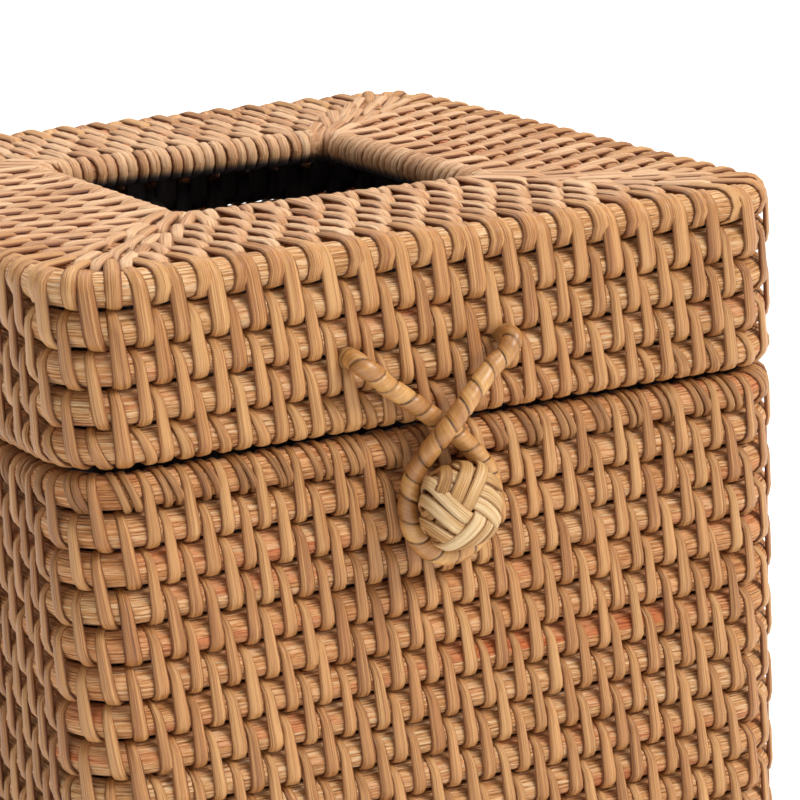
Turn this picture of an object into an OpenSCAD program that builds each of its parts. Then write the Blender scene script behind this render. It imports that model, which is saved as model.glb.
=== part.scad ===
// Square woven rattan tissue box cover: a deep base with a woven floor, a lid with a square
// tissue opening, two cane lashings as hinges at the back, and a cord loop that hooks over a
// knot at the front. Millimetres, +Z up, front at -Y, origin at the middle of the foot face.

/* [Body] */
// Width and depth over the binding
body_w = 146; // [130:1:170]
// Radius of the upright outer corners
corner_r = 14.2; // [12:0.1:18]
// Side of the clear tissue opening
opening_w = 58; // [50:1:66]
// Number of plain courses in the base wall
base_courses = 16; // [10:1:18]
// Number of courses in the lid wall
lid_courses = 5; // [4:1:6]

/* [Rods] */
// Diameter of the rattan core in the walls
rod_d = 5.6; // [5:0.1:6.2]
// Diameter of the thinner core in the lid top
top_rod_d = 4.8; // [4.4:0.1:5.2]
// Diameter of the core in the floor
floor_rod_d = 4.8; // [4.2:0.1:5.2]
// Bend radius of the outermost core of the lid top
top_bend_r = 7.2; // [6.6:0.1:8]
// Loss of bend radius from one top course to the next
bend_step = 0.8; // [0.6:0.1:1]
// Bend radius of the core round the opening
rim_bend_r = 4; // [3.8:0.1:6]

/* [Binding] */
// Thickness of the peel strip
strip_t = 0.85; // [0.75:0.05:0.95]
// Width of the peel strip
strip_w = 3.1; // [2.4:0.1:3.6]
// Width of a strip where it rounds a corner
corner_strip_w = 2; // [1.6:0.1:2.4]
// Distance from one binding column to the next
column_pitch = 14.1; // [13.4:0.1:15]
// Place of the first column from the middle of its wall
column_offset = 1.75; // [1.3:0.05:2.2]
// Play between a strip and the core that it wraps
fit_gap = 0.15; // [0.12:0.01:0.18]
// Room that the strip takes between two neighbouring cores
rung_t = 0.78; // [0.7:0.01:0.82]
// Gap between the lid and the base along the seam
seam_gap = 0.2; // [0.2:0.05:0.5]
// Depth of the flat worn on the foot wrapping
foot_flat = 0.3; // [0.2:0.05:0.4]

/* [Hinge] */
// Turns of strip in one lashing
lashing_turns = 3; // [2:1:3]
// Thickness of the lashing strip
lashing_t = 0.8; // [0.6:0.05:0.85]
// Gap between two turns of a lashing
lashing_step_gap = 0.3; // [0.2:0.05:0.4]
// Running clearance of a lashing on its two cores
lashing_gap = 0.06; // [0.04:0.01:0.1]

/* [Closure] */
// Diameter of the knot
knot_d = 17; // [15:0.5:18]
// Depth of the knot from front to back
knot_depth = 10; // [8:0.5:10]
// Sideways place of the knot
knot_x = -3.5; // [-4:0.1:-3]
// Height of the knot above the gap that its neck passes through
knot_rise = 1; // [0:0.1:1.4]
// Gap between the knot and the binding face
knot_stand = 2.5; // [2.2:0.1:3]
// Diameter of the neck that holds the knot
neck_d = 4; // [3:0.1:4.4]
// Diameter of the loop cord
cord_d = 3.8; // [3.2:0.1:3.8]
// How far a tail or neck reaches inside the cores
tail_reach = 1.5; // [1:0.1:2]

/* [Hidden] */
$fn = 48;
loop_sides = 8;
loop_steps = 2;
cut_over = 1;

half_w = body_w / 2;
skin_t = fit_gap + strip_t;
wall_half = half_w - rod_d / 2 - skin_t;
bend_r = corner_r - rod_d / 2 - skin_t;
straight_half = wall_half - bend_r;

row_pitch = rod_d + 2 * fit_gap + rung_t;
wrap_r = rod_d / 2 + skin_t;
top_wrap_r = top_rod_d / 2 + skin_t;
floor_wrap_r = floor_rod_d / 2 + skin_t;
seam_pitch = 2 * wrap_r + seam_gap;

foot_z = wrap_r - foot_flat;
base_low_z = foot_z + 2 * wrap_r + fit_gap;
base_top_z = base_low_z + (base_courses - 1) * row_pitch;
lid_low_z = base_top_z + seam_pitch;
lid_top_z = lid_low_z + (lid_courses - 1) * row_pitch;
top_z = lid_top_z + wrap_r - top_wrap_r;

// The two rows of thin cores that meet the wall and the rim fix the spread of the rest
eave_gap = 0.43;
rim_half = opening_w / 2 + top_wrap_r;
top_in_half = rim_half + 2 * top_wrap_r + fit_gap;
top_out_half = wall_half - rod_d / 2 - top_rod_d / 2 - 2 * fit_gap - eave_gap;
top_pitch_least = top_rod_d + 2 * fit_gap + rung_t;
top_courses = max(2, floor((top_out_half - top_in_half) / top_pitch_least) + 1);
top_pitch = (top_out_half - top_in_half) / (top_courses - 1);
function top_half(i) = top_out_half - (i - 1) * top_pitch;
function top_bend(i) = max(top_bend_r - (i - 1) * bend_step, rim_bend_r);

// The floor lies in the foot ring, its cores along X
floor_pitch = floor_rod_d + 2 * fit_gap + rung_t + 2 * fit_gap;
floor_z = foot_z + strip_t;
floor_inner = wall_half - wrap_r;
floor_count = floor((floor_inner - floor_wrap_r) / floor_pitch);
floor_bend = bend_r - wrap_r;
function floor_end(y) = let (over = abs(y) + floor_rod_d / 2 - straight_half)
    (over <= 0 ? floor_inner : straight_half + sqrt(floor_bend * floor_bend - over * over)) - fit_gap;

// Binding columns of one wall, by their number from the middle
column_reach = floor((straight_half + abs(column_offset)) / column_pitch) + 1;
function column_x(k) = column_offset + k * column_pitch;
function column_fits(k) = abs(column_x(k)) + strip_w / 2 <= straight_half;
columns = [for (k = [-column_reach : column_reach]) if (column_fits(k)) k];
function is_odd(k) = abs(k) % 2;

// Cores that a column wraps, each as distance out, height and radius, from the seam onwards
base_stack = [for (i = [1 : base_courses]) [wall_half, base_top_z - (i - 1) * row_pitch, rod_d / 2]];
lid_stack = [for (i = [lid_courses : -1 : 1])
    [wall_half, lid_top_z - (i - 1) * row_pitch, rod_d / 2]];
function top_stack(x) = [for (i = [1 : top_courses])
    if (abs(x) + strip_w / 2 <= top_half(i) - top_bend(i) + fit_gap)
        [top_half(i), top_z, top_rod_d / 2]];
function at_corner(stack) = [for (s = stack) [bend_r, s[1], s[2]]];

// A lashing sits midway between two columns of the back wall, one column in from each end
lashing_columns = [columns[1], columns[len(columns) - 2]];
function lashing_x(k) = column_x(k) + column_pitch / 2;
lashing_r = rod_d / 2 + lashing_gap;
lashing_pitch = strip_w + lashing_step_gap;

// Heights where the neck and the loop's tails pass between two courses
neck_z = base_top_z - 1.5 * row_pitch;
tail_z = lid_top_z - 2.5 * row_pitch;
knot_z = neck_z + knot_rise;
knot_y = -half_w - knot_stand - knot_depth / 2;

// Route of the loop's middle line: sideways, out from the binding face, up from the tails.
// It leaves the left tail, rounds the knot and crosses over itself to the right tail.
loop_route = [
    [-20.1, 0.2, 0], [-19.7, 2, -0.3], [-18.8, 3.2, -1.4], [-17.1, 3.3, -2.6],
    [-14.7, 2.3, -4.8], [-11.9, 2.2, -6.9], [-9, 2.2, -9.1], [-6.2, 2.2, -11.4],
    [-3.1, 2.2, -13.9], [-0.2, 2.2, -16.5], [2.5, 2.2, -19.3], [4.8, 2.2, -22.7],
    [6, 2.2, -26.7], [5.6, 2.2, -30.7], [3.3, 2.2, -34.3], [-0.1, 2.2, -36.4],
    [-3.9, 2.2, -36.9], [-7.5, 2.2, -35.1], [-10, 2.2, -31.8], [-10.9, 2.2, -27.6],
    [-10.4, 2.4, -23.3], [-9.1, 3.5, -19.5], [-7, 5.3, -15.9], [-4.4, 6.4, -12.6],
    [-1.2, 6.2, -9.4], [2.3, 5.2, -6.5], [5.2, 4.1, -4.4], [8.1, 3.6, -2.7],
    [9.6, 3.3, -1.3], [10.7, 2, 0], [11.1, 0.2, 0]];
tail_xs = [loop_route[0][0], loop_route[len(loop_route) - 1][0]];

// One core bent round four corners, its middle line half from the centre
module bent_rod(half, bend, r) {
    side = 2 * (half - bend);
    for (turn = [0 : 90 : 270]) rotate([0, 0, turn]) {
        translate([-side / 2, -half, 0]) rotate([0, 90, 0]) cylinder(r = r, h = side);
        translate([side / 2, bend - half, 0]) rotate([0, 0, -90])
            rotate_extrude(angle = 90) translate([bend, 0]) circle(r = r);
    }
}

// Section round one core or two, grown by a skin
module wrap_section(cores, grow) {
    for (c = cores) translate([-c[0], c[1]]) circle(r = c[2] + grow);
    if (len(cores) == 2) {
        a = [-cores[0][0], cores[0][1]];
        b = [-cores[1][0], cores[1][1]];
        way = (b - a) / norm(b - a);
        side = [-way[1], way[0]];
        polygon([a + side * (cores[0][2] + grow), b + side * (cores[1][2] + grow),
                 b - side * (cores[1][2] + grow), a - side * (cores[0][2] + grow)]);
    }
}

// The cores of a stack in stitches of two, the first stitch over one core if lone is 1
function stitches(stack, lone) = concat(
    lone == 1 ? [[stack[0]]] : [],
    [for (i = [lone : 2 : len(stack) - 1])
        i + 1 < len(stack) ? [stack[i], stack[i + 1]] : [stack[i]]]);

// One column of stitches that share the strip in each gap
module binding_column(stack, lone, w) {
    rotate([90, 0, 90]) linear_extrude(w, center = true) difference() {
        for (s = stitches(stack, lone)) wrap_section(s, skin_t);
        for (s = stitches(stack, lone)) wrap_section(s, fit_gap);
    }
}

// The columns of one wall and of the corner at its right-hand end
module wall_binding(stack, with_top) {
    for (k = columns) translate([column_x(k), 0, 0])
        binding_column(with_top ? concat(stack, top_stack(column_x(k))) : stack,
                       1 - is_odd(k), strip_w);
    translate([straight_half, -straight_half, 0]) rotate([0, 0, 45])
        binding_column(at_corner(stack), 1, corner_strip_w);
}

// A cord tail drawn through the gap between two courses, from a face at y = face
module tail_between(x, z, d, face) {
    difference() {
        translate([x, -wall_half + rod_d / 2 + tail_reach, z]) rotate([90, 0, 0])
            cylinder(d = d, h = rod_d / 2 + tail_reach - face - wall_half);
        for (side = [-1, 1]) translate([x - d, -wall_half, z + side * row_pitch / 2])
            rotate([0, 90, 0]) cylinder(r = rod_d / 2 + fit_gap, h = 2 * d);
    }
}

module foot_rod() {
    color([0.75, 0.56, 0.38]) translate([0, 0, foot_z]) bent_rod(wall_half, bend_r, rod_d / 2);
}

module foot_wrapping() {
    color([0.57, 0.37, 0.24]) difference() {
        translate([0, 0, foot_z]) bent_rod(wall_half, bend_r, wrap_r);
        translate([0, 0, foot_z]) bent_rod(wall_half, bend_r, rod_d / 2 + fit_gap);
        translate([-half_w - cut_over, -half_w - cut_over, -wrap_r])
            cube([body_w + 2 * cut_over, body_w + 2 * cut_over, wrap_r]);
    }
}

module floor_rods() {
    color([0.72, 0.53, 0.36]) for (i = [-floor_count + 1 : floor_count - 1])
        let (y = i * floor_pitch, end = floor_end(i * floor_pitch))
            translate([-end, y, floor_z]) rotate([0, 90, 0])
                cylinder(d = floor_rod_d, h = 2 * end);
}

module floor_binding() {
    stack = [for (i = [-floor_count + 1 : floor_count - 1])
        [i * floor_pitch, floor_z, floor_rod_d / 2]];
    color([0.57, 0.37, 0.24]) for (k = columns) translate([column_x(k), 0, 0])
        binding_column(stack, is_odd(k), strip_w);
}

module base_course(i) {
    color([0.79, 0.61, 0.42]) translate([0, 0, base_top_z - (i - 1) * row_pitch])
        bent_rod(wall_half, bend_r, rod_d / 2);
}

module lid_course(i) {
    color([0.79, 0.61, 0.42]) translate([0, 0, lid_top_z - (i - 1) * row_pitch])
        bent_rod(wall_half, bend_r, rod_d / 2);
}

module top_course(i) {
    color([0.84, 0.67, 0.48]) translate([0, 0, top_z])
        bent_rod(top_half(i), top_bend(i), top_rod_d / 2);
}

module rim_rod() {
    color([0.84, 0.67, 0.48]) translate([0, 0, top_z])
        bent_rod(rim_half, rim_bend_r, top_rod_d / 2);
}

module rim_wrapping() {
    color([0.66, 0.45, 0.29]) translate([0, 0, top_z]) difference() {
        bent_rod(rim_half, rim_bend_r, top_wrap_r);
        bent_rod(rim_half, rim_bend_r, top_rod_d / 2 + fit_gap);
    }
}

module base_binding(turn) {
    color([0.6, 0.39, 0.25]) rotate([0, 0, turn]) wall_binding(base_stack, false);
}

module lid_binding(turn) {
    color([0.6, 0.39, 0.25]) rotate([0, 0, turn]) wall_binding(lid_stack, true);
}

module knot_neck() {
    color([0.7, 0.52, 0.33]) tail_between(knot_x, neck_z, neck_d, -half_w - knot_stand);
}

module knot_button() {
    color([0.85, 0.7, 0.5]) translate([knot_x, knot_y, knot_z]) rotate([90, 0, 0])
        rotate_extrude() intersection() {
            scale([knot_d / knot_depth, 1]) circle(d = knot_depth);
            translate([0, -knot_depth]) square([knot_d, 2 * knot_depth]);
        }
}

// Turns of strip round the top core of the base and the lowest core of the lid
module hinge_lashing(k) {
    color([0.62, 0.42, 0.26]) rotate([0, 0, 180])
        for (i = [0 : lashing_turns - 1])
            translate([lashing_x(k) + (i - (lashing_turns - 1) / 2) * lashing_pitch, 0, 0])
                rotate([90, 0, 90]) linear_extrude(strip_w, center = true) difference() {
                    wrap_section([base_stack[0], lid_stack[0]], lashing_gap + lashing_t);
                    wrap_section([base_stack[0], lid_stack[0]], lashing_gap);
                }
}

module loop_tails() {
    color([0.7, 0.52, 0.33]) for (x = tail_xs) tail_between(x, tail_z, cord_d, -half_w);
}

// Point and direction on a smooth curve through the route
function route_at(i) = loop_route[max(0, min(len(loop_route) - 1, i))];
function curve_at(i, t) = let (a = route_at(i - 1), b = route_at(i),
                               c = route_at(i + 1), d = route_at(i + 2))
    (2 * b + (c - a) * t + (2 * a - 5 * b + 4 * c - d) * t * t
     + (3 * b - 3 * c + d - a) * t * t * t) / 2;
loop_line = [for (i = [0 : len(loop_route) - 2], s = [0 : loop_steps - 1])
    curve_at(i, s / loop_steps), loop_route[len(loop_route) - 1]];
function line_way(i) = i == 0 || i == len(loop_line) - 1 ? [0, i == 0 ? 1 : -1, 0]
    : let (w = loop_line[i + 1] - loop_line[i - 1]) w / norm(w);
// Side vector carried along the line, so that the tube doesn't twist
function side_walk(i, side) = let (way = line_way(i), s = side - way * (side * way),
                                   unit = s / norm(s))
    i == len(loop_line) - 1 ? [unit] : concat([unit], side_walk(i + 1, unit));
loop_side = side_walk(0, [1, 0, 0]);
function loop_ring(i) = [for (j = [0 : loop_sides - 1])
    let (turn = 360 * j / loop_sides, p = loop_line[i]
        + cord_d / 2 * (cos(turn) * loop_side[i] + sin(turn) * cross(line_way(i), loop_side[i])))
    [p[0], -half_w - p[1], tail_z + p[2]]];

module closure_loop() {
    last = len(loop_line) - 1;
    rings = [for (i = [0 : last]) each loop_ring(i)];
    walls = [for (i = [0 : last - 1], j = [0 : loop_sides - 1])
        let (a = i * loop_sides + j, b = i * loop_sides + (j + 1) % loop_sides)
        each [[a, b, b + loop_sides], [a, b + loop_sides, a + loop_sides]]];
    near_cap = [for (j = [loop_sides - 1 : -1 : 0]) j];
    far_cap = [for (j = [0 : loop_sides - 1]) last * loop_sides + j];
    color([0.72, 0.54, 0.36]) polyhedron(rings, concat([near_cap, far_cap], walls));
}

foot_rod();
foot_wrapping();
floor_rods();
floor_binding();
for (i = [1 : base_courses])
    base_course(i);
base_binding(0);  // base_binding_front
base_binding(90);  // base_binding_right
base_binding(180);  // base_binding_back
base_binding(270);  // base_binding_left
knot_neck();
knot_button();
hinge_lashing(lashing_columns[1]);  // hinge_lashing_left
hinge_lashing(lashing_columns[0]);  // hinge_lashing_right
for (i = [1 : lid_courses])
    lid_course(i);
for (i = [1 : top_courses])
    top_course(i);
rim_rod();
rim_wrapping();
lid_binding(0);  // lid_binding_front
lid_binding(90);  // lid_binding_right
lid_binding(180);  // lid_binding_back
lid_binding(270);  // lid_binding_left
loop_tails();
closure_loop();
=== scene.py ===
"""Woven rattan tissue box cover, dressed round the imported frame.

The cores keep their CAD places as bent rods, and flat peel strips are laid over them stitch by
stitch. Lengths are in metres; MM turns a millimetre into one.
"""
import math
import random

import bmesh
import bpy
from mathutils import Matrix, Vector


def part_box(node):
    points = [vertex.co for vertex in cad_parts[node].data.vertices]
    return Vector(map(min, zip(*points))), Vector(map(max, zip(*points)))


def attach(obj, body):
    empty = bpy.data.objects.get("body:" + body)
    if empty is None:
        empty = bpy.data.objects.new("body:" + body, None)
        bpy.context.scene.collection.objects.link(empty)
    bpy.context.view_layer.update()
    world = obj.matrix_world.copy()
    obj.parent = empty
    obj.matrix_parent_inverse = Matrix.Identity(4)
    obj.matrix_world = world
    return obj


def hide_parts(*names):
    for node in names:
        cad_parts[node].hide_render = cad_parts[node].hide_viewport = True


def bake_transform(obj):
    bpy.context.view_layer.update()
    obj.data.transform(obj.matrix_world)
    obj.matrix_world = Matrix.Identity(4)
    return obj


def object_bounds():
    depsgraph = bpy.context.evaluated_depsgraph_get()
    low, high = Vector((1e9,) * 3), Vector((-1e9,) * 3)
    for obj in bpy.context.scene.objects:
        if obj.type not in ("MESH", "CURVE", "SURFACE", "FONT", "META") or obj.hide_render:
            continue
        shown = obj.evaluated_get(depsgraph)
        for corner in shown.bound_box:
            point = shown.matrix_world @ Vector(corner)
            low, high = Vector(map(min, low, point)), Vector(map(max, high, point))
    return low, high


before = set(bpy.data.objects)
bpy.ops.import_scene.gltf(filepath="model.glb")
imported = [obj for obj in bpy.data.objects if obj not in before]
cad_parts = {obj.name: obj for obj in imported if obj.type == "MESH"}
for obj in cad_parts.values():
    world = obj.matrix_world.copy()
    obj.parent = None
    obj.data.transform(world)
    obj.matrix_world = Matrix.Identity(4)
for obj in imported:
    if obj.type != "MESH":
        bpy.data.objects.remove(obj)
cad_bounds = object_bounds()
MM = 0.001
HEIGHT = cad_bounds[1].z

# Bend radii of the cores, as in the CAD model: on the top they get smaller towards the opening
WALL_BEND = 10.4 * MM
TOP_BEND = 7.2 * MM
TOP_BEND_STEP = 0.8 * MM
RIM_BEND = 4 * MM

# Stitches along a wall, and where the middle one lies from the wall's middle
STITCHES_PER_WALL = 19
STITCH_START = -1.8 * MM

# Strips: their size, the height of the outer face over the core, the way to the right from start
# to end, and how much narrower and deeper the start is
STRIP_WIDTH = 3.05 * MM
STRIP_THICK = 1.15 * MM
SKIN = 1.0 * MM
LEAN = 1.6 * MM
NARROW = 0.3
SINK = 0.35 * MM
SHALLOW_SINK = 0.2 * MM
# How far strips stray from their places, round two cores, round one and wound side by side, and
# the shares between which their lean and width vary
JITTER = 0.25 * MM
LONE_JITTER = 0.2 * MM
TIGHT_JITTER = 0.1 * MM
LEAN_RANGE = (0.75, 1.25)
WIDTH_RANGE = (0.88, 1.09)

# Cores are drawn this much thicker than in CAD, so that the strips bed into them
CORE_SWELL = 0.2 * MM


class Ring:
    """A core bent round four corners."""

    def __init__(self, node, bend):
        low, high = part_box(node)
        self.radius = (high.z - low.z) / 2
        self.half = high.x - self.radius
        self.z = (high.z + low.z) / 2
        self.bend = bend
        self.straight = self.half - bend
        self.reach = self.straight + bend * math.pi / 4

    def at(self, side, along):
        """Point, outward and rightward direction at a distance from the middle of a side."""
        turn = Matrix.Rotation(side * math.pi / 2, 3, "Z")
        sign = 1 if along >= 0 else -1
        over = abs(along) - self.straight
        if over <= 0:
            place, out = Vector((along, -self.half, self.z)), Vector((0, -1, 0))
        else:
            angle = over / self.bend
            out = Vector((sign * math.sin(angle), -math.cos(angle), 0))
            place = Vector((sign * self.straight, -self.straight, self.z)) + out * self.bend
        out = turn @ out
        return turn @ place, out, Vector((-out.y, out.x, 0))

    def match(self, other, along):
        """Where this ring is opposite a place on another ring."""
        sign = 1 if along >= 0 else -1
        over = abs(along) - other.straight
        if over <= 0:
            return max(-self.straight, min(self.straight, along))
        return sign * (self.straight + over / other.bend * self.bend)


# Rings of the base and of the lid from the top down, and of the top from the outside in
BASE_COURSES = 16
LID_COURSES = 5
TOP_COURSES = 5
base_rings = [Ring(f"base_course_{i + 1}", WALL_BEND) for i in range(BASE_COURSES)]
lid_rings = [Ring(f"lid_course_{i + 1}", WALL_BEND) for i in range(LID_COURSES)]
top_rings = [Ring(f"top_course_{i + 1}", TOP_BEND - i * TOP_BEND_STEP)
             for i in range(TOP_COURSES)]
rim_ring = Ring("rim_rod", RIM_BEND)
foot_ring = Ring("foot_rod", WALL_BEND)
WALL_HALF = lid_rings[0].half
# The stitches run round the four walls at one even pitch
STITCH_PITCH = (8 * lid_rings[0].straight + 2 * math.pi * WALL_BEND) / (4 * STITCHES_PER_WALL)
HALF = STITCH_PITCH / 2


# Colours and material nodes

def srgb(code):
    """A hex colour as linear red, green, blue and alpha."""
    parts = [int(code[i:i + 2], 16) / 255 for i in (1, 3, 5)]
    return [c / 12.92 if c <= 0.04045 else ((c + 0.055) / 1.055) ** 2.4 for c in parts] + [1]


def add(tree, kind, links=None, **settings):
    """A node with its settings, and its inputs given other nodes' sockets or values."""
    node = tree.nodes.new(kind)
    for name, value in settings.items():
        setattr(node, name, value)
    for name, value in (links or {}).items():
        if isinstance(value, bpy.types.NodeSocket):
            tree.links.new(value, node.inputs[name])
        else:
            node.inputs[name].default_value = value
    return node


def new_material(name):
    """An empty material and its node tree."""
    material = bpy.data.materials.new(name)
    material.use_nodes = True
    material.node_tree.nodes.clear()
    return material, material.node_tree


def ramp(tree, factor, stops):
    """The colour at a factor, from stops of a place and a hex colour."""
    node = add(tree, "ShaderNodeValToRGB", {"Fac": factor})
    while len(node.color_ramp.elements) < len(stops):
        node.color_ramp.elements.new(0.5)
    for element, (place, colour) in zip(node.color_ramp.elements, stops):
        element.position = place
        element.color = srgb(colour)
    return node.outputs["Color"]


def blend_colour(tree, kind, factor, a, b):
    """Two colours mixed or multiplied. Numbers tell the node's sockets of one name apart."""
    node = add(tree, "ShaderNodeMix", {0: factor, 6: a, 7: b}, data_type="RGBA", blend_type=kind)
    return node.outputs[2]


def maths(tree, operation, a, b=0.0, clamp=False):
    node = add(tree, "ShaderNodeMath", {0: a, 1: b}, operation=operation, use_clamp=clamp)
    return node.outputs[0]


def plus(tree, a, b):
    return maths(tree, "ADD", a, b)


def minus(tree, a, b, clamp=False):
    return maths(tree, "SUBTRACT", a, b, clamp)


def times(tree, a, b, clamp=False):
    return maths(tree, "MULTIPLY", a, b, clamp)


# The black stain of the inside: where it begins, measured inwards from the middle of the walls'
# cores, down from the rim's core and up from the foot's core, and the length over which it sets in
STAIN_IN = 1.3 * MM
STAIN_DOWN = 0.7 * MM
STAIN_UP = 0.5 * MM
STAIN_FADE = 1.3 * MM
STAIN_SHARE = 0.97
STAIN_COLOUR = "#4c4547"


def inner_stain(tree):
    """How far a point lies on the black-stained inside of the cover, from 0 to 1."""
    place = add(tree, "ShaderNodeSeparateXYZ",
                {0: add(tree, "ShaderNodeTexCoord").outputs["Object"]}).outputs
    over = []
    for axis in "XY":
        beyond = minus(tree, maths(tree, "ABSOLUTE", place[axis]), WALL_HALF - WALL_BEND)
        over.append(maths(tree, "MAXIMUM", beyond, 0.0))
    squares = plus(tree, times(tree, over[0], over[0]), times(tree, over[1], over[1]))
    inwards = minus(tree, WALL_BEND - STAIN_IN, maths(tree, "SQRT", squares))
    down = minus(tree, rim_ring.z - STAIN_DOWN, place["Z"])
    up = minus(tree, place["Z"], foot_ring.z + STAIN_UP)
    walls, under, above = (times(tree, depth, 1 / STAIN_FADE, True)
                           for depth in (inwards, down, up))
    return times(tree, times(tree, walls, under), above)


# Scale of the grain along and across a strip or core, whose UV is in millimetres. The finest lines
# come to about 0.3 mm, twice as wide as real fibres, so that they show
PEEL_LINES = (0.05, 3.6, 1)
PEEL_BANDS = (0.09, 0.7, 1)
CORE_FIBRES = (0.12, 2.5, 1)
CORE_DASHES = (0.45, 3.6, 1)
CORE_PATCHES = (0.022, 0.08, 1)
# Scale of the lines along the wound cane of the loop, and of its blotches to the metre
CANE_LINES = (9, 1.4, 1)
CANE_BLOTCHES = (260, 260, 260)
# How far the tone of a strip moves its grain, in millimetres
TONE_SHIFT = (97, 61, 43)
# UV from one point of a strip's section to the next, and in the middle of its outer face
SECTION_STEP = 1.05
SECTION_TOP = 2 * SECTION_STEP


def fibre_noise(tree, vector, scale, detail, rough=0.6):
    """Noise stretched along the grain."""
    stretched = add(tree, "ShaderNodeMapping", {"Vector": vector, "Scale": scale}).outputs[0]
    return add(tree, "ShaderNodeTexNoise", {"Vector": stretched, "Scale": 1.0, "Detail": detail,
                                            "Roughness": rough}).outputs["Fac"]


def fibre_vector(tree):
    """The UV of a strip or core, the same moved apart by its tone, and the parts of the tone."""
    uv = add(tree, "ShaderNodeUVMap", uv_map="fibre").outputs["UV"]
    tone = add(tree, "ShaderNodeAttribute", attribute_name="tone").outputs["Color"]
    shift = add(tree, "ShaderNodeVectorMath", {0: tone, 1: TONE_SHIFT}, operation="MULTIPLY")
    moved = add(tree, "ShaderNodeVectorMath", {0: uv, 1: shift.outputs[0]}, operation="ADD")
    return uv, moved.outputs[0], add(tree, "ShaderNodeSeparateColor", {0: tone}).outputs


def grain_level(tree, parts, offset):
    """Sockets times their weights, added up, less an offset: the place on a colour ramp."""
    shares = [times(tree, socket, weight) for socket, weight in parts]
    level = shares[0]
    for share in shares[1:]:
        level = plus(tree, level, share)
    return minus(tree, level, offset)


def finish_shader(tree, colour, height, rough, depth, stain, coat=0.0):
    """The surface with its bump, and the stain over its colour."""
    base = blend_colour(tree, "MIX", times(tree, stain, STAIN_SHARE), colour, srgb(STAIN_COLOUR))
    bump = add(tree, "ShaderNodeBump", {"Height": height, "Distance": depth, "Strength": 1.0})
    shader = add(tree, "ShaderNodeBsdfPrincipled", {
        "Base Color": base, "Roughness": rough, "IOR": 1.5, "Normal": bump.outputs[0],
        "Coat Weight": coat, "Coat Roughness": 0.3})
    add(tree, "ShaderNodeOutputMaterial", {"Surface": shader.outputs[0]})


def rattan_peel(name, dark, mid, light, rough, edge=0.75):
    """Rattan peel, split and pared flat: fine lines along its length under a smooth waxy skin.

    edge is how far its two edges darken: painted shade where neighbouring strips meet.
    """
    material, tree = new_material(name)
    uv, vector, tone = fibre_vector(tree)
    lines = fibre_noise(tree, vector, PEEL_LINES, 4.0, 0.62)
    bands = fibre_noise(tree, vector, PEEL_BANDS, 2.0)
    level = grain_level(tree, [(lines, 1.1), (bands, 0.6), (tone["Red"], 0.2)], 0.43)
    colour = ramp(tree, level, [(0.16, dark), (0.42, mid), (0.68, light)])
    # Some strips are redder than others
    ruddy = times(tree, tone["Green"], 0.22)
    colour = blend_colour(tree, "MULTIPLY", ruddy, colour, srgb("#eec39a"))
    # Painted shade on the edges, away from the middle of the outer face, where strips meet
    around = add(tree, "ShaderNodeSeparateXYZ", {0: uv}).outputs["Y"]
    off_top = maths(tree, "ABSOLUTE", minus(tree, around, SECTION_TOP))
    rim = times(tree, minus(tree, off_top, 0.72 * SECTION_TOP), 1.9, True)
    colour = blend_colour(tree, "MULTIPLY", times(tree, rim, edge), colour, srgb("#a5713f"))
    finish_shader(tree, colour, lines, rough, 0.4 * MM, inner_stain(tree), coat=0.12)
    return material


def rattan_core(name, line, mid, light):
    """Round rattan core, drawn through a die: matt, its open fibres show in short pale dashes,
    whose palest colour is a painted highlight.
    """
    material, tree = new_material(name)
    _, vector, tone = fibre_vector(tree)
    fibres = fibre_noise(tree, vector, CORE_FIBRES, 2.0, 0.5)
    dashes = fibre_noise(tree, vector, CORE_DASHES, 4.0, 0.65)
    patches = fibre_noise(tree, vector, CORE_PATCHES, 2.0)
    level = grain_level(tree, [(fibres, 1.35), (dashes, 0.8), (patches, 0.5)], 0.82)
    # The last stop, #f3dcb4, is a painted highlight on the palest fibre dashes
    colour = ramp(tree, level, [(0.16, line), (0.42, mid), (0.66, light), (0.95, "#f3dcb4")])
    # Rusty patches, and cores that are warmer as a whole
    rust = times(tree, minus(tree, patches, 0.5, True), 5.0, True)
    rust = times(tree, rust, tone["Green"])
    colour = blend_colour(tree, "MULTIPLY", rust, colour, srgb("#e0935a"))
    warm = times(tree, tone["Blue"], 0.4)
    colour = blend_colour(tree, "MULTIPLY", warm, colour, srgb("#f2b97e"))
    height = plus(tree, fibres, times(tree, dashes, 0.35))
    finish_shader(tree, colour, height, 0.7, 1.0 * MM, inner_stain(tree))
    return material


def cane_wrap(name, line, dark, mid, light):
    """Split cane wound on a cord: glossy tan, a dark line between turns, fibres along the strip."""
    material, tree = new_material(name)
    uv = add(tree, "ShaderNodeUVMap", uv_map="fibre").outputs["UV"]
    turns = add(tree, "ShaderNodeSeparateXYZ", {0: uv}).outputs["X"]
    off_middle = maths(tree, "ABSOLUTE", minus(tree, maths(tree, "FRACT", turns), 0.5))
    seam = times(tree, minus(tree, times(tree, off_middle, 2.0), 0.84), 8.0, True)
    # Each turn has its own tone
    whole = maths(tree, "FLOOR", turns)
    turn_tone = add(tree, "ShaderNodeTexWhiteNoise", {"W": whole}, noise_dimensions="1D")
    lines = fibre_noise(tree, uv, CANE_LINES, 4.0)
    place = add(tree, "ShaderNodeTexCoord").outputs["Object"]
    blotch = fibre_noise(tree, place, CANE_BLOTCHES, 3.0)
    level = grain_level(tree, [(lines, 0.5), (turn_tone.outputs["Value"], 0.25), (blotch, 0.45)],
                        0.15)
    colour = ramp(tree, level, [(0.2, dark), (0.42, mid), (0.66, light)])
    worn = minus(tree, times(tree, blotch, 2.6), 0.55, True)
    colour = blend_colour(tree, "MIX", times(tree, seam, worn), colour, srgb(line))
    height = minus(tree, times(tree, lines, 0.3), seam)
    finish_shader(tree, colour, height, 0.42, 0.15 * MM, stain=0.0, coat=0.25)
    return material


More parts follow.
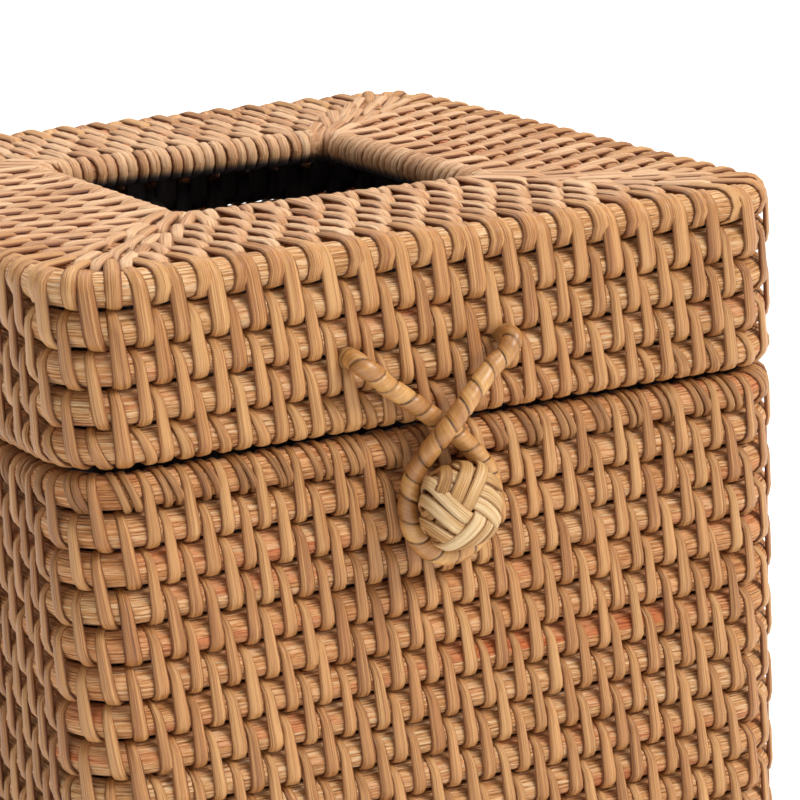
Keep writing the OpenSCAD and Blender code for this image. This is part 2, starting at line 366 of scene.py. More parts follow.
def dress(node, material):
    """Give a CAD piece that stays in view its finish."""
    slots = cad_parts[node].data.materials
    slots.clear()
    slots.append(material)


# Shapes

# Each step of a stitch: which of its two cores it turns round, and the angle about that core
STITCH_STEPS = [(0, 180), (0, 146), (0, 112), (0, 84), (1, 92), (1, 64), (1, 36), (1, 6),
                (1, -40), (1, -90), (0, -90), (0, -140)]
LONE_STEPS = [(0, 180), (0, 154), (0, 128), (0, 104), (0, 80), (0, 56), (0, 32), (0, 6),
              (0, -40), (0, -80), (0, -110), (0, -145)]
# Section of a strip: each point's half widths across and half thicknesses up
SECTION = [(1, 0.05), (0.62, 0.86), (0, 1.06), (-0.62, 0.86), (-1, 0.05), (-0.5, -0.9),
           (0.5, -0.9)]
# UV from one step of a stitch to the next
STITCH_STEP = 2.1
# How much wider a wall's stitches get at the back, where they would leave gaps to look through
BACK_SPREAD = 0.9
# Below this length the two ends of a stitch are one point
SAME_POINT = 1e-6
# A core's grain starts at a random place up to this length, in millimetres
CORE_GRAIN = 400


def stitch_template():
    """A closed tube as a rolled grid; each vertex keeps its step along and place in the section.

    The roll is there to weld the grid's edges, and lay_loop puts every vertex elsewhere.
    """
    bm = bmesh.new()
    steps, sides = len(STITCH_STEPS), len(SECTION)
    bmesh.ops.create_grid(bm, x_segments=steps, y_segments=sides, size=0.5, calc_uvs=False)
    step_no = bm.verts.layers.int.new("step")
    side_no = bm.verts.layers.int.new("side")
    uv = bm.loops.layers.uv.new("fibre")
    for v in bm.verts:
        i, j = round((v.co.x + 0.5) * steps), round((v.co.y + 0.5) * sides)
        v[step_no], v[side_no] = i % steps, j % sides
        for loop in v.link_loops:
            loop[uv].uv = (i * STITCH_STEP, j * SECTION_STEP)
        ring, tube = i / steps * 2 * math.pi, j / sides * 2 * math.pi
        reach = 3 + math.cos(tube)
        v.co = (reach * math.cos(ring), reach * math.sin(ring), math.sin(tube))
    bmesh.ops.remove_doubles(bm, verts=bm.verts, dist=1e-4)
    bmesh.ops.recalc_face_normals(bm, faces=bm.faces)
    mesh = bpy.data.meshes.new("stitch_template")
    bm.to_mesh(mesh)
    order = [(v[step_no], v[side_no]) for v in bm.verts]
    bm.free()
    return mesh, order


TEMPLATE, TEMPLATE_ORDER = stitch_template()


def random_tone(rng):
    """The tone of one strip or core: its lightness, its redness and its warmth."""
    return rng.random(), rng.random(), rng.random(), 1


class Piece:
    """A mesh that strips or rods are added to, then one object on one body, or on none where a bend
    is given.
    """

    def __init__(self, name):
        self.name = name
        self.bm = bmesh.new()
        self.bm.loops.layers.uv.new("fibre")
        self.tone = self.bm.verts.layers.float_color.new("tone")

    def place(self, body, material, slot, *nodes, bend=None):
        """Make the object, put it on its body unless a bend is given, and hide the nodes it stands
        for. slot is not used.
        """
        bmesh.ops.recalc_face_normals(self.bm, faces=self.bm.faces)
        mesh = bpy.data.meshes.new(self.name)
        self.bm.to_mesh(mesh)
        self.bm.free()
        for name in ("step", "side"):
            if name in mesh.attributes:
                mesh.attributes.remove(mesh.attributes[name])
        mesh.shade_smooth()
        mesh.materials.append(material)
        piece = bpy.data.objects.new(self.name, mesh)
        bpy.context.scene.collection.objects.link(piece)
        if bend:
            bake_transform(piece)
        else:
            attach(piece, body)
        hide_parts(*nodes)


def lay_loop(piece, rng, first, last, right, radii, width, lean, thick=STRIP_THICK,
             skin=SKIN, narrow=NARROW, sink=SINK, jitter=JITTER, spread=0.0, taper=0.0):
    """One strip looped round two cores, or round one where first and last are the same point.

    first and last are core middles from the start of the weave onwards, right runs along the
    cores. The strip leans to the right on its way, and its start is narrower and lies a little
    deeper. At its back it crosses to the next stitch, and spread widens it there. taper narrows
    its far end.
    """
    span = (last - first).length
    lone = span < SAME_POINT
    way = Vector((0, 0, -1)) if lone else (last - first).normalized()
    right = (right - way * right.dot(way)).normalized()
    out = way.cross(right)
    shift = rng.gauss(0, 1) * jitter
    lean = lean * rng.uniform(*LEAN_RANGE)
    width = width * rng.uniform(*WIDTH_RANGE)
    colour = random_tone(rng)
    reach = span + radii[0] + radii[1] + 2 * skin
    piece.bm.from_mesh(TEMPLATE)
    piece.bm.verts.ensure_lookup_table()
    fresh = piece.bm.verts[len(piece.bm.verts) - len(TEMPLATE_ORDER):]
    rows = []
    for core, degrees in LONE_STEPS if lone else STITCH_STEPS:
        angle = math.radians(degrees)
        outward = way * math.cos(angle) + out * math.sin(angle)
        progress = (core * span + (radii[core] + skin) * math.cos(angle) + radii[0] + skin) / reach
        deep = sink * (1 - progress) ** 1.5 if degrees > 0 or core == 0 else 0
        middle = (first if core == 0 else last) + right * (shift + lean * (progress - 0.5))
        middle = middle + outward * (radii[core] + skin - thick / 2 - deep)
        breadth = width / 2 * (1 - narrow * (1 - progress) ** 1.3) * (1 - taper * progress ** 4)
        breadth = breadth * (1 + spread * min(1, max(0, -1.5 * math.sin(angle))))
        rows.append((middle, outward, breadth))
    for v, (step, side) in zip(fresh, TEMPLATE_ORDER):
        middle, outward, breadth = rows[step]
        across, up = SECTION[side]
        v.co = middle + right * (across * breadth) + outward * (up * thick / 2)
        v[piece.tone] = colour


def sweep(piece, rings, closed, tone, uv_of):
    """Skin a run of rings of points with quads: a closed loop, or a run with capped ends.

    uv_of gives the UV of a ring and a side by number, and is asked past the last one at a seam.
    """
    bm = piece.bm
    uv = bm.loops.layers.uv["fibre"]
    count, sides = len(rings), len(rings[0])
    verts = bmesh.ops.create_circle(bm, segments=sides, radius=1)["verts"]
    rows, faces = [], []
    for n, points in enumerate(rings):
        if n:
            edges = [bm.edges.get((verts[i - 1], verts[i])) for i in range(sides)]
            grown = bmesh.ops.extrude_edge_only(bm, edges=edges)["geom"]
            fresh = {g for g in grown if isinstance(g, bmesh.types.BMVert)}
            faces += [g for g in grown if isinstance(g, bmesh.types.BMFace)]
            verts = [next(e.other_vert(v) for e in v.link_edges if e.other_vert(v) in fresh)
                     for v in verts]
        for v, point in zip(verts, points):
            v.co = point
            v[piece.tone] = tone
        rows.append(list(verts))
    if closed:
        ends = [bm.edges.get((row[i - 1], row[i]))
                for row in (rows[0], rows[-1]) for i in range(sides)]
        faces += bmesh.ops.bridge_loops(bm, edges=ends)["faces"]
    spot = {v: (n, i) for n, row in enumerate(rows) for i, v in enumerate(row)}
    for face in faces:
        stations = [spot[loop.vert] for loop in face.loops]
        wraps = closed and {n for n, i in stations} == {0, count - 1}
        rolls = {i for n, i in stations} == {0, sides - 1}
        for loop, (n, i) in zip(face.loops, stations):
            ring_no = count if wraps and n == 0 else n
            side_no = sides if rolls and i == 0 else i
            loop[uv].uv = uv_of(ring_no, side_no)
    if not closed:
        for row in (rows[0], rows[-1]):
            bmesh.ops.contextual_create(bm, geom=row)


def lay_core(name, body, material, ring, node, seed, swell=CORE_SWELL):
    """A core as one closed tube, with UV in millimetres."""
    sides, bend_steps = 14, 7
    rng = random.Random(seed)
    piece = Piece(name)
    radius = ring.radius + swell
    stops = []
    for side in range(4):
        over = [i / bend_steps * math.pi / 4 * ring.bend for i in range(bend_steps + 1)]
        stops += [(side, -ring.straight - a) for a in reversed(over[:-1])]
        stops += [(side, ring.straight + a) for a in over]
    up = Vector((0, 0, 1))
    rings, lengths = [], [0.0]
    for side, along in stops:
        place, out, _ = ring.at(side, along)
        if rings:
            lengths.append(lengths[-1] + (place - last).length)
        last = place
        rings.append([place + (out * math.cos(a) + up * math.sin(a)) * radius
                      for a in (2 * math.pi * i / sides for i in range(sides))])
    lengths.append(lengths[-1] + (ring.at(*stops[0])[0] - last).length)
    start = rng.uniform(0, CORE_GRAIN)
    sweep(piece, rings, True, random_tone(rng),
          lambda n, i: (start + lengths[n] / MM, i * 2 * math.pi * radius / sides / MM))
    piece.place(body, material, "rattan_core", node)


def straight_places(phase, limit):
    """Stitch places along one side, up to a limit on each hand."""
    count = int(limit / STITCH_PITCH) + 2
    places = [STITCH_START + phase + k * STITCH_PITCH for k in range(-count, count + 1)]
    return [x for x in places if abs(x) <= limit]


def wall_places(phase):
    """Side and place of each stitch of a course that runs round the walls at an even pitch."""
    reach = lid_rings[0].reach
    side_length = STITCH_PITCH * STITCHES_PER_WALL
    for side in range(4):
        for k in range(STITCHES_PER_WALL):
            x = STITCH_START + phase + (k - STITCHES_PER_WALL // 2) * STITCH_PITCH
            if x > reach:
                yield (side + 1) % 4, x - side_length
            elif x < -reach:
                yield (side - 1) % 4, x + side_length
            else:
                yield side, x


def row_phase(number):
    """Every second row lies half a pitch along."""
    return HALF * ((number + 1) % 2)


# The lashings on the back, where places along the wall run against the model's x, and the room
# that a stitch and the strips of an edge keep beside a lashing
BACK = 2
LASHINGS = ("hinge_lashing_left", "hinge_lashing_right")
LASHING_XS = [(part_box(n)[0].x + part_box(n)[1].x) / 2 for n in LASHINGS]
LASHING_HALF = (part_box("hinge_lashing_left")[1].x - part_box("hinge_lashing_left")[0].x) / 2
LASHING_TURNS = (-1, 0, 1)
LASHING_STEP = 3.4 * MM
STITCH_SPARE = 2.9 * MM
EDGE_SPARE = 3.5 * MM
# Courses of stitches on each side of the seam that keep off the lashings
SEAM_ROWS = 2

# The nodes that stand for the strips of a body's walls
WALLS = ("front", "right", "back", "left")
BINDING = {body: [f"{body}_binding_{wall}" for wall in WALLS] for body in ("base", "lid")}


def beside_lashing(side, x, spare):
    """The place of a strip on the back wall clear of a lashing, or None in the middle of one."""
    for at in LASHING_XS if side == BACK else ():
        offset = x + at
        if abs(offset) < HALF:
            return None
        if abs(offset) < LASHING_HALF + spare:
            return math.copysign(LASHING_HALF + spare, offset) - at
    return x


def wall_row(name, body, upper, lower, phase, seed, narrow, width=STRIP_WIDTH, sink=SINK,
             spread=BACK_SPREAD, keep_off=False):
    """One course of stitches that each span two cores, round all four walls."""
    rng = random.Random(seed)
    piece = Piece(name)
    for side, x in wall_places(phase):
        if keep_off:
            x = beside_lashing(side, x, STITCH_SPARE)
        if x is None:
            continue
        first = upper.at(side, upper.match(lower, x))[0]
        last, _, right = lower.at(side, x)
        lay_loop(piece, rng, first, last, right, (upper.radius, lower.radius), width, LEAN,
                 narrow=narrow, sink=sink, spread=spread)
    piece.place(body, peel, "rattan_peel", *BINDING[body])


def single_row(name, body, ring, phase, seed, width=STRIP_WIDTH, lean=LEAN, narrow=NARROW,
               keep_off=False, count=1, step=0.0, material=None):
    """Short strips round one core: one in each pitch, or several side by side."""
    rng = random.Random(seed)
    piece = Piece(name)
    for side, x in wall_places(phase):
        centre = x + step * (count - 1) / 2
        if keep_off:
            centre = beside_lashing(side, centre, EDGE_SPARE)
        if centre is None:
            continue
        for i in range(count):
            middle, _, right = ring.at(side, centre)
            middle = middle + right * ((i - (count - 1) / 2) * step)
            lay_loop(piece, rng, middle, middle, right, (ring.radius,) * 2, width, lean,
                     narrow=narrow, sink=SHALLOW_SINK, jitter=LONE_JITTER, spread=BACK_SPREAD)
    piece.place(body, material or peel, "rattan_peel", *BINDING[body])


def whipping(name, body, ring, seed):
    """Turns round one core next to each lashing, where no stitch can reach over the gap."""
    rng = random.Random(seed)
    piece = Piece(name)
    for at in LASHING_XS:
        for i in LASHING_TURNS:
            middle, _, right = ring.at(BACK, i * LASHING_STEP - at)
            lay_loop(piece, rng, middle, middle, right, (ring.radius,) * 2, LASHING_STEP,
                     0.5 * LEAN, narrow=0.1, sink=0, jitter=TIGHT_JITTER)
    piece.place(body, peel, "rattan_peel", *BINDING[body])


# Stitches of the top: their width, the share of it that they keep in the fan at a corner, the gap
# there that takes one more of them, how far the ends of a stitch in the fan are out of line, and
# how they sink and taper
TOP_WIDTH = 3.8 * MM
FAN_SHARE = 0.9
FAN_ROOM = 1.6 * STITCH_PITCH / 2
FAN_OFFSET = 0.5 * MM
TOP_SINK = 0.7 * MM
TOP_TAPER = 0.35


def top_row(name, inner, outer, phase, seed, width=TOP_WIDTH, sink=TOP_SINK, taper=TOP_TAPER):
    """Stitches on the lid's top from one core to the next one out, fanned at the corners."""
    rng = random.Random(seed)
    piece = Piece(name)
    for side in range(4):
        places = straight_places(phase, outer.straight)
        gap = outer.reach - places[-1]
        places += [outer.reach]
        if gap > FAN_ROOM:
            places.append(places[-2] + gap / 2)
        if outer.reach + places[0] > FAN_ROOM:
            places.append((places[0] - outer.reach) / 2)
        for x in places:
            x_in = inner.match(outer, x)
            first = inner.at(side, x_in)[0]
            last, _, right = outer.at(side, x)
            crowd = FAN_SHARE if abs(x - x_in) > FAN_OFFSET else 1
            lay_loop(piece, rng, first, last, right, (inner.radius, outer.radius), width * crowd,
                     LEAN, narrow=0.4, sink=sink, taper=taper)
    piece.place("lid", peel_top, "rattan_peel", *BINDING["lid"])


# Finishes

peel = rattan_peel("rattan_peel_on_the_walls", "#78451f", "#b57a42", "#dda76a", 0.44)
peel_top = rattan_peel("rattan_peel_on_the_top", "#94603a", "#cd9562", "#f0c597", 0.44)
peel_dark = rattan_peel("rattan_peel_smoked", "#5f3719", "#98622f", "#c69058", 0.5)
core = rattan_core("rattan_core_wall", "#98602e", "#d09558", "#edc18e")
# Cores of the top and of the opening's rim are painted darker than the walls' cores, as shade in
# the gaps between the top's stitches
core_top = rattan_core("rattan_core_top_painted_shade", "#8f5b34", "#bf8451", "#dba974")

# Cores

for number, ring in enumerate(base_rings, 1):
    lay_core(f"base_core_{number}", "base", core, ring, f"base_course_{number}",
             seed=100 + number)
for number, ring in enumerate(lid_rings, 1):
    lay_core(f"lid_core_{number}", "lid", core, ring, f"lid_course_{number}", seed=200 + number)
for number, ring in enumerate(top_rings, 1):
    lay_core(f"top_core_{number}", "lid", core_top, ring, f"top_course_{number}",
             seed=300 + number)
lay_core("rim_core", "lid", core_top, rim_ring, "rim_rod", seed=400, swell=0.0)
lay_core("foot_core", "base", core, foot_ring, "foot_rod", seed=401, swell=0.0)

# Stitches of the lid, where the first course below the edge has wider ones. The strips of an edge
# lean more

FIRST_LID_WIDTH = 3.5 * MM
LID_EDGE_WIDTH = 2.7 * MM
EDGE_LEAN = 2.6 * MM
RIM_STITCH_WIDTH = 3.7 * MM
wall_row("eave_stitches", "lid", top_rings[0], lid_rings[0], HALF, seed=11, narrow=0.12,
         sink=SHALLOW_SINK, spread=0)
for number in range(1, LID_COURSES):
    wall_row(f"lid_stitches_{number}", "lid", lid_rings[number - 1], lid_rings[number],
             row_phase(number), seed=20 + number, narrow=0.14 if number == 1 else 0.36,
             width=FIRST_LID_WIDTH if number == 1 else STRIP_WIDTH,
             keep_off=number >= LID_COURSES - SEAM_ROWS)
whipping("lid_whipping", "lid", lid_rings[-1 - SEAM_ROWS], seed=35)
single_row("lid_edge_strips", "lid", lid_rings[-1], 0, seed=31, width=LID_EDGE_WIDTH,
           lean=EDGE_LEAN, narrow=0.35, keep_off=True)
for number in range(1, TOP_COURSES):
    top_row(f"top_stitches_{number}", top_rings[number], top_rings[number - 1],
            row_phase(number), seed=40 + number)
top_row("top_stitches_5", rim_ring, top_rings[-1], 0, seed=47, width=RIM_STITCH_WIDTH, sink=0,
        taper=0)

# Pairs of strips round the core of the opening, between the stitches that tie it to the top

RIM_THICK = 1.35 * MM
RIM_WIDTH = STITCH_PITCH / 3
RIM_FILL = 0.98
RIM_SHIFT = 0.35 * LEAN
rng = random.Random(48)
rim = Piece("rim_strips")
for side in range(4):
    for x in straight_places(HALF, rim_ring.straight) + [rim_ring.reach]:
        middle, _, right = rim_ring.at(side, x)
        for i in (-0.5, 0.5):
            place = middle + right * (i * RIM_WIDTH - RIM_SHIFT)
            lay_loop(rim, rng, place, place, right, (rim_ring.radius,) * 2, RIM_WIDTH * RIM_FILL,
                     0, thick=RIM_THICK, narrow=0, sink=0, jitter=TIGHT_JITTER)
rim.place("lid", peel_top, "rattan_peel", "rim_wrapping")

# Stitches of the base, and under the seam a pair of dark strips in each pitch

BASE_WIDTH = 2.95 * MM
BASE_EDGE_WIDTH = 1.85 * MM
BASE_EDGE_STEP = 1.75 * MM
BASE_EDGE_SHIFT = 0.4 * MM
for number in range(1, BASE_COURSES):
    wall_row(f"base_stitches_{number}", "base", base_rings[number - 1], base_rings[number],
             row_phase(number), seed=60 + number, narrow=0.4, width=BASE_WIDTH,
             keep_off=number <= SEAM_ROWS)
whipping("base_whipping", "base", base_rings[SEAM_ROWS], seed=85)
single_row("base_edge_strips", "base", base_rings[0], HALF - BASE_EDGE_SHIFT, seed=81,
           width=BASE_EDGE_WIDTH, lean=EDGE_LEAN, narrow=0.2, keep_off=True, count=2,
           step=BASE_EDGE_STEP, material=peel_dark)
single_row("base_low_strips", "base", base_rings[-1], HALF, seed=82)

# Foot: strip wound tight round the lowest core, worn flat underneath. Its turns are wider where
# they fan round a corner

FOOT_WIDTH = 3.7 * MM
FOOT_LEAN = 1.2 * MM
FOOT_STRETCH = 1.3
rng = random.Random(90)
foot = Piece("foot_strips")
for phase in (0, HALF):
    for side, x in wall_places(phase):
        middle, _, right = foot_ring.at(side, x)
        stretch = FOOT_STRETCH if abs(x) > foot_ring.straight else 1
        lay_loop(foot, rng, middle, middle, right, (foot_ring.radius,) * 2, FOOT_WIDTH * stretch,
                 FOOT_LEAN, narrow=0, sink=0, jitter=TIGHT_JITTER)
for v in foot.bm.verts:
    v.co.z = max(v.co.z, 0)
foot.place("base", peel, "rattan_peel", "foot_wrapping")

# Floor: straight cores, each pair held by strips

dress("floor_rods", rattan_core("rattan_core_floor", "#8f5c37", "#c08f60", "#dcb486"))
FLOOR_RODS = 19
FLOOR_REACH = 60 * MM
low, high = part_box("floor_rods")
floor_radius = (high.z - low.z) / 2
floor_z = (high.z + low.z) / 2
floor_step = (high.y - low.y - 2 * floor_radius) / (FLOOR_RODS - 1)
floor_strips = Piece("floor_stitches")
rng = random.Random(95)
for number in range(FLOOR_RODS - 1):
    y = low.y + floor_radius + number * floor_step
    for x in straight_places(HALF * (number % 2), FLOOR_REACH):
        lay_loop(floor_strips, rng, Vector((x, y, floor_z)), Vector((x, y + floor_step, floor_z)),
                 Vector((1, 0, 0)), (floor_radius,) * 2, STRIP_WIDTH, LEAN)
floor_strips.place("base", peel, "rattan_peel", "floor_binding")

# Hinge lashings: three turns round the top core of the base and the lowest core of the lid

LASHING_WIDTH = 3.1 * MM
LASHING_SKIN = 0.86 * MM
LASHING_THICK = 0.8 * MM
for name, centre in zip(LASHINGS, LASHING_XS):
    rng = random.Random(name)
    lashing = Piece(name + "_strips")
    for i in LASHING_TURNS:
        x = -centre + i * LASHING_STEP
        first, _, right = lid_rings[-1].at(BACK, x)
        last = base_rings[0].at(BACK, x)[0]
        lay_loop(lashing, rng, first, last, right, (lid_rings[-1].radius, base_rings[0].radius),
                 LASHING_WIDTH, 0, thick=LASHING_THICK, skin=LASHING_SKIN, narrow=0, sink=0,
                 jitter=0)
    lashing.place("hinge_lashings", peel, "rattan_peel", name)


# Loop: a thin core wrapped with strip, in an open spiral of turns

# The wall's face is as far out in front as it is at the left, where nothing sticks out of it
FACE_Y = cad_bounds[0].x
# The tails leave the wall between the third and the fourth core of the lid
TAIL_Z = (lid_rings[2].z + lid_rings[3].z) / 2
# The line of the loop in millimetres: to the right, out from the face and up from the tails
LOOP_ROUTE = [
    (-20.1, 0.2, 0), (-19.7, 2, -0.3), (-18.8, 3.2, -1.4), (-17.1, 3.3, -2.6),
    (-14.7, 2.3, -4.8), (-11.9, 2.2, -6.9), (-9, 2.2, -9.1), (-6.2, 2.2, -11.4),
    (-3.1, 2.2, -13.9), (-0.2, 2.2, -16.5), (2.5, 2.2, -19.3), (4.8, 2.2, -22.7),
    (6, 2.2, -26.7), (5.6, 2.2, -30.7), (3.3, 2.2, -34.3), (-0.1, 2.2, -36.4),
    (-3.9, 2.2, -36.9), (-7.5, 2.2, -35.1), (-10, 2.2, -31.8), (-10.9, 2.2, -27.6),
    (-10.4, 2.4, -23.3), (-9.1, 3.5, -19.5), (-7, 5.3, -15.9), (-4.4, 6.4, -12.6),
    (-1.2, 6.2, -9.4), (2.3, 5.2, -6.5), (5.2, 4.1, -4.4), (8.1, 3.6, -2.7),
    (9.6, 3.3, -1.3), (10.7, 2, 0), (11.1, 0.2, 0)]
LOOP_RADIUS = 1.9 * MM
LOOP_TURN = 3.7 * MM
TURN_RANGE = (0.75, 1.25)
LOOP_STEP = 0.35 * MM
# Heights above and below the place where the loop leaves the wall, given with its bend
BEND_ABOVE = 0.3 * MM
BEND_BELOW = 6 * MM


def smooth_line(points, step):
    """Points at an even step on a smooth curve through the given ones."""
    parts = 12
    fine = []
    count = len(points)
    for i in range(count - 1):
        a, b, c, d = (points[max(0, min(count - 1, k))] for k in (i - 1, i, i + 1, i + 2))
        for s in range(parts):
            t = s / parts
            fine.append((2 * b + (c - a) * t + (2 * a - 5 * b + 4 * c - d) * t * t
                         + (3 * b - 3 * c + d - a) * t ** 3) / 2)
    fine.append(points[-1])
    even, left = [fine[0]], 0.0
    for p, q in zip(fine, fine[1:]):
        length = (q - p).length
        while left + step <= length:
            left += step
            even.append(p.lerp(q, left / length))
        left -= length
    return even


def wrapped_cord(piece, points, radius, turn, rng):
    """A tube along a line, wound with strip: each turn has its own width.

    A turn rises steeply at its leading edge, slopes down behind it and ends in a narrow groove.
    """
    sides = 16
    rise_share, slope, groove_share, relief = 0.14, 0.4, 0.08, 0.19
    aside = Vector((1, 0, 0))
    rings, wound, width = [], [0.0], turn
    for n, place in enumerate(points):
        way = (points[min(n + 1, len(points) - 1)] - points[max(n - 1, 0)]).normalized()
        aside = (aside - way * aside.dot(way)).normalized()
        up = way.cross(aside)
        if n:
            wound.append(wound[-1] + (place - points[n - 1]).length / width)
            if int(wound[-1]) > int(wound[-2]):
                width = turn * rng.uniform(*TURN_RANGE)
        ring = []
        for i in range(sides):
            angle = 2 * math.pi * i / sides
            part = (wound[-1] + i / sides) % 1
            rise = min(1, part / rise_share) * (1 - slope * part)
            rise = rise * min(1, (1 - part) / groove_share)
            swell = radius * (1 - relief + relief * rise)
            ring.append(place + (aside * math.cos(angle) + up * math.sin(angle)) * swell)
        rings.append(ring)
    sweep(piece, rings, False, (0.5, 0.5, 0.5, 1),
          lambda n, i: (wound[n] + i / sides, i / sides))


cane = cane_wrap("cane_wrapped_cord", "#4a2a14", "#8c5828", "#b88044", "#dba964")
route = [Vector((x, FACE_Y / MM - out, TAIL_Z / MM + z)) * MM for x, out, z in LOOP_ROUTE]
loop = Piece("loop_cord")
wrapped_cord(loop, smooth_line(route, LOOP_STEP), LOOP_RADIUS, LOOP_TURN, random.Random(17))
loop.place("closure_loop", cane, "loop_cane", "closure_loop", bend=(
    "lid", "closure_loop", (0, FACE_Y, TAIL_Z + BEND_ABOVE), (0, FACE_Y, TAIL_Z - BEND_BELOW)))

# Knot: bands of three pale strips woven over a ball

low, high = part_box("knot_button")
knot_centre = (low + high) / 2
KNOT_RADIUS = (high.x - low.x) / 2
KNOT_DEEP = (high.y - low.y) / 2
# The way the first band runs, in degrees
KNOT_TURN = -62
# Under the knot's surface: the middle of the bands, and the filling
KNOT_SEAT = 1.3 * MM
FILLING_SEAT = 1.6 * MM
# A band starts and goes on round the ball by these degrees. It curves aside, and rises by its lift
# over the band before within the length of its rise
BAND_FROM = -130
BAND_ROUND = 280
BAND_CURVE = 0.22
BAND_LIFT = 0.85 * MM
BAND_RISE = 2.4 * MM
BAND_THICK = 0.85 * MM
# The first strip's edge from the middle, and the shares of a strip's width that it fills and takes
BAND_EDGE = 0.25 * MM
BAND_FILL = 1.06
BAND_TAKE = 0.95
# A strip's grain starts at a random place up to this length and goes on by a step, in millimetres
BAND_GRAIN = 50
BAND_GRAIN_STEP = 0.8
BAND_REDNESS = 0.1
# Each band: its extra turn in degrees, and the width in millimetres and shade of each strip
BANDS = [(0, [(2.4, 0.1), (2.4, -0.3), (2.3, -0.6)]),
         (4, [(2.4, 0.8), (2.4, 0.3), (2.3, 0.0)]),
         (4, [(3.0, 1.1), (2.3, 0.5), (1.9, 0.1)]),
         (8, [(2.4, 0.5), (2.3, 0.6), (2.3, 0.1)])]


def knot_strip(piece, turn, offset, width, shade, rng):
    """One strip of a band round the ball: it runs under the next band and over the one before."""
    steps, sides = 32, 8
    spin = Matrix.Rotation(turn, 3, "Y")
    inside = math.sqrt(1 - (offset / (KNOT_RADIUS - KNOT_SEAT)) ** 2)
    rows = []
    for n in range(steps + 1):
        angle = math.radians(BAND_FROM + BAND_ROUND * n / steps)
        a, deep = math.sin(angle) * inside, math.cos(angle) * inside
        b = offset - BAND_CURVE * max(0, a) ** 2 * KNOT_RADIUS
        rise = max(0.0, min(1.0, a * KNOT_RADIUS / BAND_RISE + 0.5))
        lift = BAND_LIFT * rise * rise * (3 - 2 * rise)
        normal = Vector((a / KNOT_RADIUS, -deep / KNOT_DEEP, b / KNOT_RADIUS ** 2)).normalized()
        place = Vector((a * (KNOT_RADIUS - KNOT_SEAT), -deep * (KNOT_DEEP - KNOT_SEAT), b))
        rows.append((place + normal * lift, normal))
    section = []
    for i in range(sides):
        angle = 2 * math.pi * (i + 0.5) / sides
        section.append((math.copysign(abs(math.cos(angle)) ** 0.6, math.cos(angle)),
                        math.copysign(abs(math.sin(angle)) ** 0.8, math.sin(angle))))
    rings = []
    for n, (place, normal) in enumerate(rows):
        way = (rows[min(n + 1, steps)][0] - rows[max(n - 1, 0)][0]).normalized()
        across = way.cross(normal).normalized()
        rings.append([
            knot_centre + spin @ (place + across * (w * width / 2) + normal * (h * BAND_THICK / 2))
            for w, h in section])
    start = rng.uniform(0, BAND_GRAIN)
    sweep(piece, rings, False, (shade, BAND_REDNESS, rng.random(), 1),
          lambda n, i: (start + n * BAND_GRAIN_STEP, SECTION_TOP * (1 - section[i % sides][0])))


def knot_ball(piece):
    """The filling that shows between the bands, coloured dark as painted shade."""
    wide, deep = KNOT_RADIUS - FILLING_SEAT, KNOT_DEEP - FILLING_SEAT
    made = bmesh.ops.create_uvsphere(piece.bm, u_segments=24, v_segments=16, radius=1)["verts"]
    for v in made:
        v.co = knot_centre + Vector((v.co.x * wide, v.co.y * deep, v.co.z * wide))
        v[piece.tone] = (0, 0, 0, 1)


pale_cane = rattan_peel("plaited_cane_pale", "#95622f", "#d09d5c", "#f0d2a0", 0.45, edge=0.6)
# The filling's dark cane colours are painted shade in the gaps between the knot's bands
knot_dark = rattan_peel("plaited_cane_shaded", "#4e321a", "#7a5128", "#a0713c", 0.6)
filling = Piece("knot_filling")
knot_ball(filling)
filling.place("base", knot_dark, "knot_cane", "knot_button")
rng = random.Random(7)
knot = Piece("knot_bands")
for quarter, (extra, strips) in enumerate(BANDS):
    turn = math.radians(KNOT_TURN + quarter * 90 + extra)
    edge = BAND_EDGE
    for width, shade in strips:
        knot_strip(knot, turn, edge + width / 2 * MM, width * BAND_FILL * MM, shade, rng)
        edge += width * BAND_TAKE * MM
knot.place("base", pale_cane, "knot_cane", "knot_button")

tail_cane = rattan_core("cane_tail", "#6b4424", "#a2733f", "#c2925a")
dress("loop_tails", tail_cane)
dress("knot_neck", tail_cane)

# Camera, placed as the photograph was taken. Its focus and shifts are shares of the picture's width

CAMERA_PLACE = Vector((-303.2, -608.7, HEIGHT / MM + 118.7)) * MM
CAMERA_YAW, CAMERA_PITCH, CAMERA_ROLL = (math.radians(a) for a in (-28.57, 13.70, -1.81))
CAMERA_FOCUS_SHARE = 3659 / 800
CAMERA_SHIFT = (4.2 / 800, 5.7 / 800)
SENSOR_WIDTH = 36
CAMERA_SIGHT = 20
camera_data = bpy.data.cameras.new("camera")
camera = bpy.data.objects.new("camera", camera_data)
bpy.context.scene.collection.objects.link(camera)
bpy.context.scene.camera = camera
ahead = Vector((-math.sin(CAMERA_YAW) * math.cos(CAMERA_PITCH),
                math.cos(CAMERA_YAW) * math.cos(CAMERA_PITCH), -math.sin(CAMERA_PITCH)))
level = Vector((math.cos(CAMERA_YAW), math.sin(CAMERA_YAW), 0))
above = level.cross(ahead)
right_way = level * math.cos(CAMERA_ROLL) + above * math.sin(CAMERA_ROLL)
up_way = above * math.cos(CAMERA_ROLL) - level * math.sin(CAMERA_ROLL)
axes = Matrix((right_way, up_way, -ahead)).transposed()
camera.matrix_world = Matrix.Translation(CAMERA_PLACE) @ axes.to_4x4()
camera_data.sensor_width = SENSOR_WIDTH
camera_data.lens = SENSOR_WIDTH * CAMERA_FOCUS_SHARE
camera_data.shift_x, camera_data.shift_y = CAMERA_SHIFT
camera_data.clip_end = CAMERA_SIGHT

# Floor and light, in metres. The floor glows a little to the camera and in reflections, and the
# sky is white to the camera and dimmer as a light

FLOOR_HALF = 6
FLOOR_DROP = 0.2 * MM
FLOOR_GLOW = 0.45
SKY_LIGHT = 0.32
SKY_SEEN_MORE = 0.68
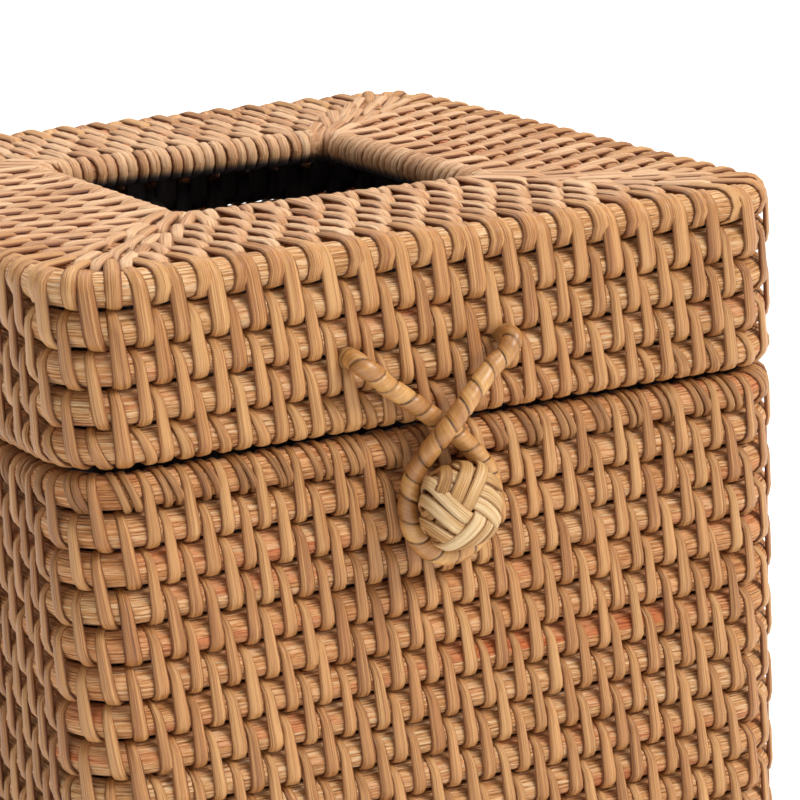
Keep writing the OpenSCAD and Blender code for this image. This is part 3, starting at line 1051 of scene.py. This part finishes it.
# Each lamp: its name, the way to it, its strength and the width of its disc in degrees
LAMPS = [("key", (0.75, -0.76, 0.9), 2.55, 24),
         ("fill", (0.3, -1.0, 0.18), 0.38, 16),
         ("above", (0.1, 0.4, 1.0), 2.35, 50)]

floor_material, tree = new_material("studio_floor")
seen = add(tree, "ShaderNodeLightPath").outputs
mirrored = maths(tree, "MAXIMUM", seen["Is Glossy Ray"], seen["Is Transmission Ray"])
bright = maths(tree, "MAXIMUM", seen["Is Camera Ray"], mirrored)
paper = add(tree, "ShaderNodeBsdfDiffuse", {"Color": srgb("#e9e9e9")})
glow = times(tree, bright, FLOOR_GLOW)
shine = add(tree, "ShaderNodeEmission", {"Color": (1, 1, 1, 1), "Strength": glow})
both = add(tree, "ShaderNodeAddShader", {0: paper.outputs[0], 1: shine.outputs[0]})
add(tree, "ShaderNodeOutputMaterial", {"Surface": both.outputs[0]})
floor_mesh = bpy.data.meshes.new("studio_floor")
bm = bmesh.new()
bmesh.ops.create_grid(bm, x_segments=1, y_segments=1, size=FLOOR_HALF)
bm.to_mesh(floor_mesh)
bm.free()
floor_mesh.materials.append(floor_material)
floor = bpy.data.objects.new("studio_floor", floor_mesh)
floor.location.z = -FLOOR_DROP
bpy.context.scene.collection.objects.link(floor)

world = bpy.data.worlds.new("studio")
bpy.context.scene.world = world
world.use_nodes = True
tree = world.node_tree
tree.nodes.clear()
seen = add(tree, "ShaderNodeLightPath").outputs
strength = plus(tree, times(tree, seen["Is Camera Ray"], SKY_SEEN_MORE), SKY_LIGHT)
sky = add(tree, "ShaderNodeBackground", {"Color": (1, 1, 1, 1), "Strength": strength})
add(tree, "ShaderNodeOutputWorld", {"Surface": sky.outputs[0]})

for name, way, power, spread in LAMPS:
    lamp = bpy.data.lights.new(name, "SUN")
    lamp.energy = power
    lamp.angle = math.radians(spread)
    lamp_object = bpy.data.objects.new(name, lamp)
    lamp_object.rotation_mode = "QUATERNION"
    lamp_object.rotation_quaternion = Vector(way).to_track_quat("Z", "Y")
    bpy.context.scene.collection.objects.link(lamp_object)

bpy.context.scene.view_settings.view_transform = "Standard"
